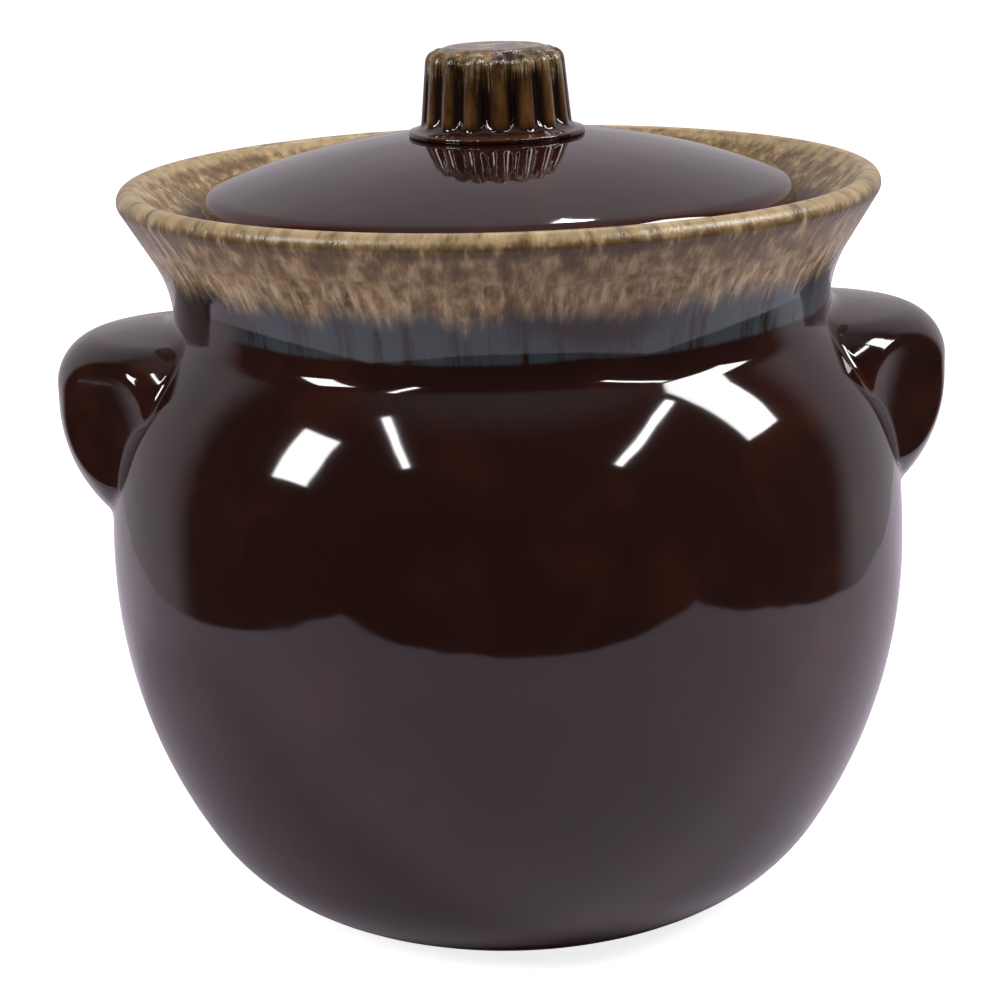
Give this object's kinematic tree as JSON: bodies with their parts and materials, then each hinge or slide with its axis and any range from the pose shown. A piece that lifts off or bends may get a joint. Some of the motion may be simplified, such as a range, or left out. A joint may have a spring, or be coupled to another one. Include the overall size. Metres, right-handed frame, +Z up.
{
  "type": "bean pot",
  "caption": "Round stoneware bean pot with two solid lug handles and a loose domed lid with a reeded knob, for baking and serving at table",
  "frame": {"origin": "centre of the foot ring, on the surface that the pot stands on", "axes": "+Z up along the pot's axis, +X towards the right lug, +Y towards the back"},
  "size_m": [0.1924, 0.1726, 0.1852],
  "materials": {
    "pot_glaze": "glossy dark red-brown glaze over buff stoneware, tan drip glaze at the rim, bare clay foot ring",
    "lug_glaze": "glossy dark red-brown glaze",
    "lid_glaze": "glossy dark brown glaze, bare clay seat and flange",
    "knob_glaze": "amber-brown glaze pooled dark in the grooves, with tan drip glaze on the crown"
  },
  "bodies": {
    "pot": {"pot_body": "pot_glaze", "pot_mouth": "pot_glaze", "lug_right": "lug_glaze", "lug_left": "lug_glaze"},
    "lid": {"lid": "lid_glaze", "knob": "knob_glaze"}
  },
  "joints": [
    {"name": "lid_lift", "type": "slide", "parent": "pot", "child": "lid", "axis": [0, 0, 1], "range_m": [0, 0.08]}
  ]
}
